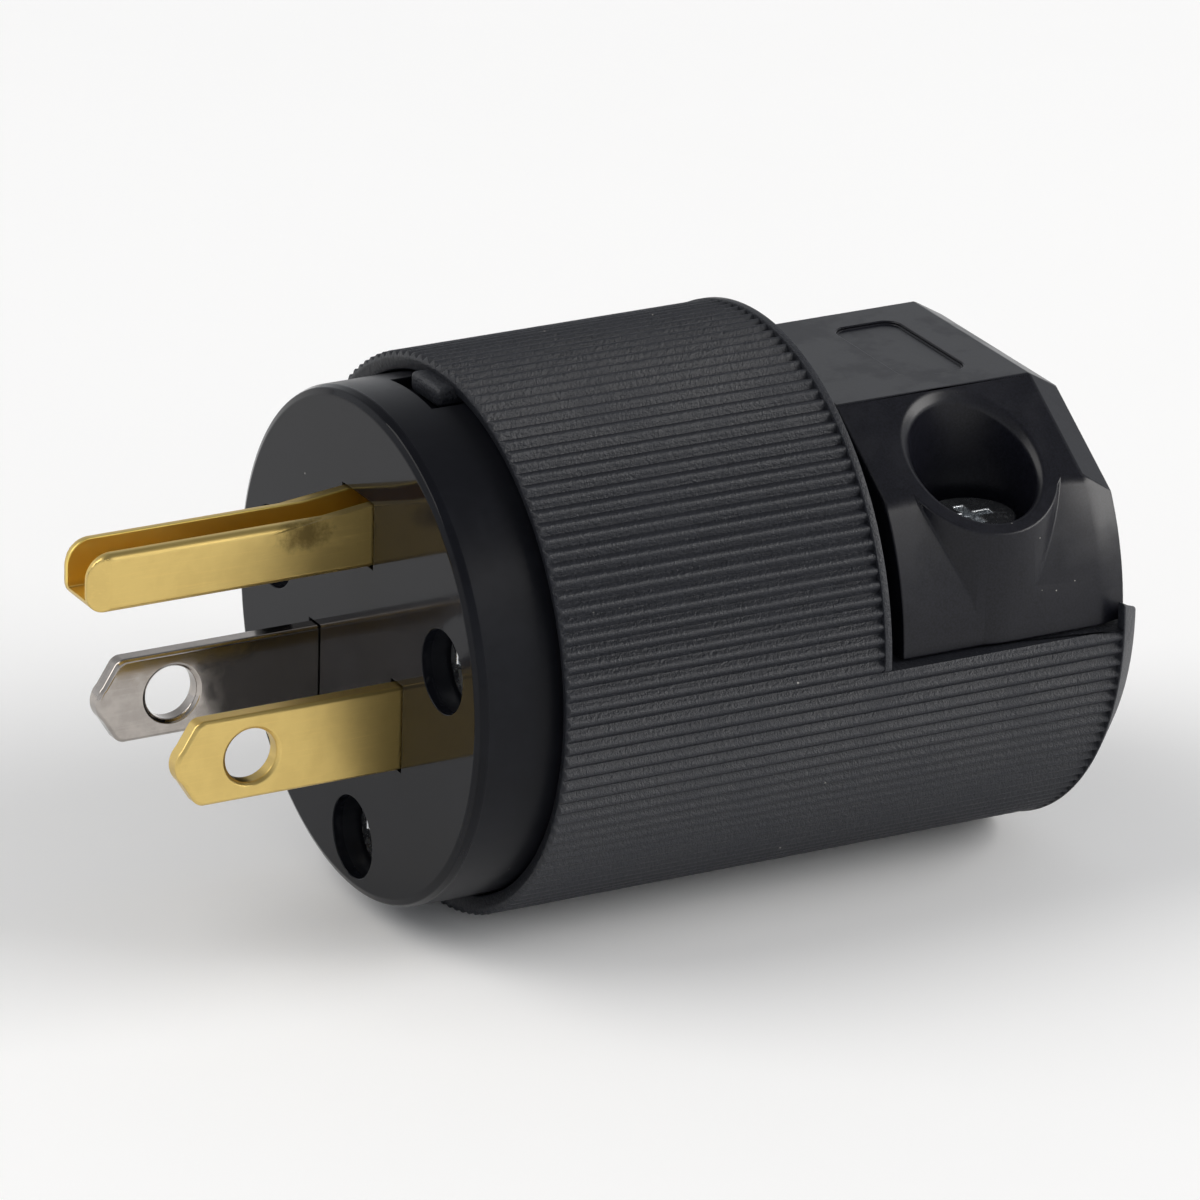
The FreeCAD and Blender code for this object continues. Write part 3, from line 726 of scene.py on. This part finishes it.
class Finish:
    """A material under way: its nodes, its shader and its place in millimetres."""

    def __init__(self, name):
        self.material = bpy.data.materials.new(name)
        self.material.use_nodes = True
        tree = self.material.node_tree
        tree.nodes.clear()
        self.nodes = Nodes(tree)
        self.shader = self.nodes.add("ShaderNodeBsdfPrincipled")
        output = self.nodes.add("ShaderNodeOutputMaterial")
        self.nodes.join(self.shader.outputs["BSDF"], output.inputs["Surface"])
        where = self.nodes.add("ShaderNodeTexCoord")
        self.place = self.nodes.stretched(where.outputs["Object"], (1000, 1000, 1000))

    def set(self, **values):
        self.nodes.give(self.shader, {name.replace("_", " "): value for name, value in values.items()})

    def drive(self, name, value):
        self.nodes.join(value, self.shader.inputs[name])

    def use(self, name, **values):
        node = self.nodes.add("ShaderNodeGroup", node_tree=effect(name))
        self.nodes.give(node, {"Place": self.place, **values})
        return node.outputs

    def bump(self, height, distance, strength):
        node = self.nodes.add("ShaderNodeBump")
        self.nodes.give(node, {"Strength": strength, "Distance": distance, "Height": height})
        self.drive("Normal", node.outputs["Normal"])


def shaded(colour, factor):
    """A colour made lighter or darker, with full alpha."""
    return tuple(min(1.0, part * factor) for part in colour) + (1.0,)


def nylon_finish(name, colour, roughness, grain, depth, shine):
    """Moulded black nylon: fine grain, slight unevenness of sheen and pale dust specks."""
    finish = Finish(name)
    nodes = finish.nodes
    texture = finish.use("Mould grain", Size=grain)
    dust = finish.use("Dust specks", Spacing=1.9, Share=0.3, Radius=0.05)["Mask"]
    cloud = finish.use("Cloudy cover", Size=7.0, Cover=0.5)["Mask"]
    tone = nodes.mix(texture["Shade"], shaded(colour, 0.6), shaded(colour, 1.45))
    tone = nodes.mix(nodes.times(cloud, 0.35), tone, shaded(colour, 1.45))
    finish.drive("Base Color", nodes.mix(dust, tone, DUST))
    sheen = nodes.span(cloud, 0.0, 1.0, roughness - 0.04, roughness + 0.05)
    finish.drive("Roughness", nodes.math("ADD", sheen, nodes.times(dust, 0.3)))
    finish.bump(texture["Height"], depth, strength=0.8)
    finish.set(IOR=1.5, Specular_IOR_Level=shine)
    return finish.material


def carrier_finish(colours):
    """Glossy black thermoset: near mirror, with fine dust, cloudy gloss and a satin side."""
    finish = Finish("carrier gloss")
    nodes = finish.nodes
    dust = finish.use("Dust specks", Spacing=2.0, Share=0.13, Radius=0.04)["Mask"]
    cloud = finish.use("Cloudy cover", Size=5.0, Cover=0.5)["Mask"]
    texture = finish.use("Mould grain", Size=0.5)
    side = nodes.span(nodes.axes(finish.place)["Y"], 0.5, 0.9)
    tone = nodes.mix(nodes.times(cloud, 0.5), shaded(colours.carrier, 0.9), shaded(colours.carrier, 1.3))
    finish.drive("Base Color", nodes.mix(dust, tone, FACE_DUST))
    gloss = nodes.span(cloud, 0.0, 1.0, 0.07, 0.1)
    satin = nodes.math("ADD", gloss, nodes.times(side, 0.25))
    finish.drive("Roughness", nodes.math("ADD", satin, nodes.times(dust, 0.4)))
    finish.bump(texture["Height"], 0.004 * MM, strength=0.35)
    finish.set(IOR=1.5, Specular_IOR_Level=0.12)
    return finish.material


def painted_shade_mask(finish, middle, reach):
    """A soft uneven patch of painted shade, standing for the black face's dark reflection: full at a place
    in millimetres, gone at a reach along each axis, broken up by cloud."""
    nodes = finish.nodes
    scale = tuple(1 / part for part in reach)
    shift = tuple(-place / part for place, part in zip(middle, reach))
    far = nodes.add("ShaderNodeVectorMath", operation="LENGTH")
    nodes.join(nodes.stretched(finish.place, scale, shift), far.inputs[0])
    cloud = nodes.noise(finish.place, 1.3, detail=4.0, rough=0.65)
    ragged = nodes.math("ADD", far.outputs["Value"], nodes.math("MULTIPLY_ADD", cloud, 1.2, -0.6))
    return nodes.span(ragged, 0.15, 1.0, 1.0, 0.0)


def painted_light_mask(finish):
    """Where the painted light goes: the inner walls of the ground blade, full between them and above the
    channel's floor.
    """
    nodes = finish.nodes
    axes = nodes.axes(finish.place)
    across = nodes.math("ABSOLUTE", axes["X"])
    between = nodes.span(across, FOLD_HALF_GAP + 0.05, FOLD_HALF_GAP + 0.2, 1.0, 0.0)
    return nodes.times(between, nodes.span(axes["Z"], FOLD_FLOOR_Z, FOLD_FLOOR_Z + 0.6))


def brass_finish(colours):
    """Rolled brass: drawn lines along the blade, cloudy tarnish, small dark spots, painted shade near the
    ground blade's base for the face's dark reflection, and painted light on the walls of its channel."""
    finish = Finish("rolled brass")
    nodes = finish.nodes
    cloud = finish.use("Cloudy cover", Size=4.5, Cover=0.52)["Mask"]
    lines = finish.use("Drawn lines")
    spots = finish.use("Dust specks", Spacing=1.1, Share=0.14, Radius=0.05)["Mask"]
    # Painted shade: a dark patch near the ground blade's base, standing for the black face's reflection.
    painted_shade = painted_shade_mask(finish, middle=(2.3, -5.3, 10.3), reach=(3.0, 2.7, 1.6))
    tone = nodes.mix(nodes.times(cloud, 0.14), shaded(colours.brass, 1.0), shaded(colours.tarnish, 1.5))
    tone = nodes.mix(nodes.times(lines["Mask"], 0.3), tone, shaded(colours.brass, 1.16))
    tone = nodes.mix(nodes.times(painted_shade, 0.8), tone, shaded(colours.tarnish, 0.45))
    # Painted light: the ground blade's inner walls get a brighter brass, standing for light that reaches
    # into its channel.
    tone = nodes.mix(painted_light_mask(finish), tone, shaded(colours.painted_fold_light, 1.0))
    finish.drive("Base Color", nodes.mix(nodes.times(spots, 0.35), tone, shaded(colours.tarnish, 1.1)))
    rough = nodes.span(cloud, 0.0, 1.0, 0.33, 0.36)
    finish.drive("Roughness", nodes.math("ADD", rough, nodes.times(lines["Mask"], 0.06)))
    finish.bump(lines["Height"], 0.003 * MM, strength=0.4)
    finish.set(Metallic=1.0)
    return finish.material


def nickel_finish(colours):
    """Dull nickel plate with a warm cast, drawn lines and cloudy wear."""
    finish = Finish("dull nickel plate")
    nodes = finish.nodes
    cloud = finish.use("Cloudy cover", Size=3.6, Cover=0.55)["Mask"]
    lines = finish.use("Drawn lines")
    spots = finish.use("Dust specks", Spacing=2.0, Share=0.15, Radius=0.05)["Mask"]
    tone = nodes.mix(nodes.times(cloud, 0.5), shaded(colours.nickel, 1.05), shaded(colours.nickel, 0.72))
    tone = nodes.mix(nodes.times(lines["Mask"], 0.25), tone, shaded(colours.nickel, 1.25))
    finish.drive("Base Color", nodes.mix(nodes.times(spots, 0.6), tone, DARK_SPOT))
    finish.drive("Roughness", nodes.span(cloud, 0.0, 1.0, 0.09, 0.15))
    finish.bump(lines["Height"], 0.002 * MM, strength=0.3)
    finish.set(Metallic=1.0)
    return finish.material


def plated_finish(name, colour, metallic):
    """Plated or lacquered screw metal: slight grain and cloudy sheen."""
    finish = Finish(name)
    nodes = finish.nodes
    cloud = finish.use("Cloudy cover", Size=1.6, Cover=0.5)["Mask"]
    texture = finish.use("Mould grain", Size=0.25)
    tone = nodes.mix(nodes.times(cloud, 0.6), shaded(colour, 1.05), shaded(colour, 0.75))
    finish.drive("Base Color", tone)
    finish.drive("Roughness", nodes.span(cloud, 0.0, 1.0, 0.2, 0.32))
    finish.bump(texture["Height"], 0.006 * MM, strength=0.5)
    finish.set(Metallic=metallic)
    return finish.material


# Operators


class PLUG_OT_ribbed_barrel(Operator):
    """Makes the ribbed barrel with its notch, rear bands, ears, key tooth and lower jaw"""

    bl_idname = "plug.ribbed_barrel"
    bl_label = "Ribbed barrel"

    def execute(self, context):
        sizes = context.scene.plug_barrel
        colours = context.scene.plug_finishes
        middle = (clamp_low.y + clamp_high.y) / 2
        skins = [barrel_skin(sizes), ear_skin(sizes, 1), ear_skin(sizes, -1), key_skin()]
        skins += [ridge_skin(sizes, middle + step * RIDGE_PITCH * MM) for step in (-1, 0, 1)]
        for name in ("right", "left", "lower"):
            low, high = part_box(name + "_assembly_screw")
            skins.append(boss_skin((low + high) / 2))
        barrel = mesh_object("ribbed_barrel", skins, BARREL_SHARP_ANGLE)
        finish = nylon_finish(
            "barrel nylon", colours.nylon, roughness=0.5, grain=0.28, depth=0.17 * MM, shine=0.42
        )
        seat(barrel, "plug", "barrel_nylon", finish, "body_shell")
        return {"FINISHED"}


class PLUG_OT_cord_clamp(Operator):
    """Makes the cord clamp with eased edges"""

    bl_idname = "plug.cord_clamp"
    bl_label = "Cord clamp"

    def execute(self, context):
        colours = context.scene.plug_finishes
        clamp = merged_copy("cord_clamp", "eased_cord_clamp")
        for name in ("right_clamp_screw", "left_clamp_screw"):
            low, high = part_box(name)
            round_well_mouth(clamp.data, (low + high) / 2, inner=4.5 * MM, outer=5.5 * MM, width=0.24 * MM)
        ease_edges(clamp, 0.14 * MM, segments=2, angle=25)
        keep_flats(clamp)
        finish = nylon_finish(
            "clamp nylon", colours.clamp, roughness=0.34, grain=0.4, depth=0.005 * MM, shine=0.26
        )
        seat(clamp, "clamp", "clamp_nylon", finish, "cord_clamp")
        return {"FINISHED"}


class PLUG_OT_face(Operator):
    """Makes the glossy face disc with eased wells and edges"""

    bl_idname = "plug.face"
    bl_label = "Face"

    def execute(self, context):
        carrier = merged_copy("contact_carrier", "glossy_face")
        ease_edges(carrier, 0.09 * MM, segments=3, angle=20)
        finish = carrier_finish(context.scene.plug_finishes)
        seat(carrier, "plug", "carrier_plastic", finish, "contact_carrier")
        return {"FINISHED"}


class PLUG_OT_blades(Operator):
    """Makes the two flat blades and the ground blade with eased edges"""

    bl_idname = "plug.blades"
    bl_label = "Blades"

    def execute(self, context):
        colours = context.scene.plug_finishes
        brass = brass_finish(colours)
        nickel = nickel_finish(colours)
        for node, slot, finish in (
            ("hot_blade", "brass", brass),
            ("ground_blade", "brass", brass),
            ("neutral_blade", "nickel_plate", nickel),
        ):
            blade = merged_copy(node, "eased_" + node)
            if node == "ground_blade":
                crisp_lines(blade.data, low=10, high=20)
            else:
                round_tip(blade.data, behind=-12 * MM, width=0.4 * MM)
            ease_edges(blade, 0.1 * MM, segments=2, angle=25)
            seat(blade, "plug", slot, finish, node)
        return {"FINISHED"}


class PLUG_OT_screws(Operator):
    """Makes the five screws that can be seen, with rounded heads"""

    bl_idname = "plug.screws"
    bl_label = "Screws"

    def execute(self, context):
        zinc = plated_finish("bright zinc", context.scene.plug_finishes.zinc, metallic=1.0)
        for body, names in (("plug", ("right", "left", "lower")), ("clamp", ("right", "left"))):
            kind = "_assembly_screw" if body == "plug" else "_clamp_screw"
            for name in names:
                screw = merged_copy(name + kind, "eased_" + name + kind)
                ease_edges(screw, 0.16 * MM, segments=2, angle=35)
                seat(screw, body, "zinc_steel", zinc, name + kind)
        return {"FINISHED"}


class PLUG_OT_inner_pieces(Operator):
    """Gives the terminal block, wire retainer, terminal screws and wire plates their finishes"""

    bl_idname = "plug.inner_pieces"
    bl_label = "Inner pieces"

    def execute(self, context):
        colours = context.scene.plug_finishes
        dull = nylon_finish(
            "block plastic", colours.nylon, roughness=0.55, grain=0.4, depth=0.01 * MM, shine=0.4
        )
        zinc = plated_finish("plate zinc", colours.zinc, metallic=1.0)
        brass = plated_finish("screw brass", colours.brass, metallic=1.0)
        green = plated_finish("green lacquer", colours.green, metallic=0.0)
        finishes = {
            "terminal_block": dull, "wire_retainer": dull, "hot_terminal_screw": brass,
            "neutral_terminal_screw": zinc, "ground_terminal_screw": green,
            "hot_wire_plate": zinc, "neutral_wire_plate": zinc, "ground_wire_plate": zinc,
        }
        for node, finish in finishes.items():
            coat(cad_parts[node], finish)
        return {"FINISHED"}


class PLUG_OT_stage(Operator):
    """Makes the floor, the soft light and the camera"""

    bl_idname = "plug.stage"
    bl_label = "Stage"

    def execute(self, context):
        stage = context.scene.plug_stage
        self.floor(context, stage)
        self.sky(context, stage)
        self.lamp(context, "front lamp", place=(-0.55, -1.15, 1.35), size=1.4, power=stage.front_power)
        self.lamp(context, "rear lamp", place=(0.85, 1.45, 0.75), size=1.1, power=stage.rear_power)
        self.camera(context, stage)
        context.scene.view_settings.view_transform = "Standard"
        return {"FINISHED"}

    def floor(self, context, stage):
        """A flat square under the barrel."""
        side = np.array([-1.0, 1.0]) * stage.floor_size
        x, y = np.meshgrid(side, side, indexing="ij")
        points = np.stack([x, y, np.full_like(x, shell_low.z)], axis=-1)
        mesh = bpy.data.meshes.new("floor")
        mesh.from_pydata(points.reshape(-1, 3).tolist(), [], grid_quads(points, False, False).tolist())
        floor = bpy.data.objects.new("floor", mesh)
        context.collection.objects.link(floor)
        finish = Finish("pale floor")
        cloud = finish.use("Cloudy cover", Size=60.0, Cover=0.5)["Mask"]
        tone = finish.nodes.mix(cloud, shaded(stage.floor, 1.0), shaded(stage.floor, 0.995))
        finish.drive("Base Color", tone)
        finish.set(Roughness=0.9, Specular_IOR_Level=0.1)
        mesh.materials.append(finish.material)

    def sky(self, context, stage):
        """A soft sky, brightest at the horizon and dimmer overhead."""
        world = bpy.data.worlds.new("soft sky")
        world.use_nodes = True
        world.node_tree.nodes.clear()
        nodes = Nodes(world.node_tree)
        where = nodes.add("ShaderNodeTexCoord")
        height = nodes.axes(where.outputs["Generated"])["Z"]
        light = nodes.add("ShaderNodeBackground")
        strength = nodes.span(height, 0.05, 0.9, stage.horizon, stage.zenith)
        nodes.give(light, {"Color": SKY_COLOUR, "Strength": strength})
        output = nodes.add("ShaderNodeOutputWorld")
        nodes.join(light.outputs["Background"], output.inputs["Surface"])
        context.scene.world = world

    def lamp(self, context, name, place, size, power):
        """A large soft square lamp that faces the plug."""
        data = bpy.data.lights.new(name, "AREA")
        data.shape = "SQUARE"
        data.size = size
        data.energy = power
        data.color = LAMP_COLOUR
        lamp = bpy.data.objects.new(name, data)
        lamp.location = place
        lamp.rotation_euler = Vector(place).to_track_quat("Z", "Y").to_euler()
        context.collection.objects.link(lamp)

    def camera(self, context, stage):
        """A camera turned round the plug by azimuth, raised by elevation and rolled about its own axis. The
        face's centre is placed in the picture by shares of the frame."""
        turn, rise, roll = stage.azimuth, stage.elevation, stage.roll
        back = Vector((math.sin(turn) * math.cos(rise), -math.cos(turn) * math.cos(rise), math.sin(rise)))
        level = (-back).cross(Vector((0, 0, 1))).normalized()
        upward = level.cross(-back)
        right = math.cos(roll) * level + math.sin(roll) * upward
        up = math.cos(roll) * upward - math.sin(roll) * level
        data = bpy.data.cameras.new("photo camera")
        data.lens = stage.lens
        data.sensor_width = 36.0
        data.clip_start = 0.01
        spread = stage.distance * data.sensor_width / data.lens
        across = (stage.face_across - 0.5) * spread
        lift = (0.5 - stage.face_down) * spread
        camera = bpy.data.objects.new("photo camera", data)
        place = back * stage.distance - right * across - up * lift
        camera.matrix_world = Matrix.Translation(place) @ Matrix((right, up, back)).transposed().to_4x4()
        context.collection.objects.link(camera)
        context.scene.camera = camera


class PLUG_PT_panel(Panel):
    """Sizes, finishes and steps of the plug"""

    bl_idname = "PLUG_PT_panel"
    bl_label = "Wiring plug"
    bl_space_type = "VIEW_3D"
    bl_region_type = "UI"
    bl_category = "Plug"

    def draw(self, context):
        scene = context.scene
        for group in (scene.plug_barrel, scene.plug_finishes, scene.plug_stage):
            box = self.layout.box()
            for name in group.__annotations__:
                box.prop(group, name)
        for step in STEPS:
            self.layout.operator(step.bl_idname)


STEPS = (
    PLUG_OT_ribbed_barrel,
    PLUG_OT_cord_clamp,
    PLUG_OT_face,
    PLUG_OT_blades,
    PLUG_OT_screws,
    PLUG_OT_inner_pieces,
    PLUG_OT_stage,
)
GROUPS = {"plug_barrel": PlugBarrelSizes, "plug_finishes": PlugFinishes, "plug_stage": PlugStageSizes}
CLASSES = tuple(GROUPS.values()) + STEPS + (PLUG_PT_panel,)


def register():
    for item in CLASSES:
        bpy.utils.register_class(item)
    for name, group in GROUPS.items():
        setattr(bpy.types.Scene, name, PointerProperty(type=group))


def unregister():
    for name in GROUPS:
        delattr(bpy.types.Scene, name)
    for item in reversed(CLASSES):
        bpy.utils.unregister_class(item)


def main():
    register()
    bpy.ops.plug.ribbed_barrel()
    bpy.ops.plug.cord_clamp()
    bpy.ops.plug.face()
    bpy.ops.plug.blades()
    bpy.ops.plug.screws()
    bpy.ops.plug.inner_pieces()
    bpy.ops.plug.stage()


if __name__ == "__main__":
    main()
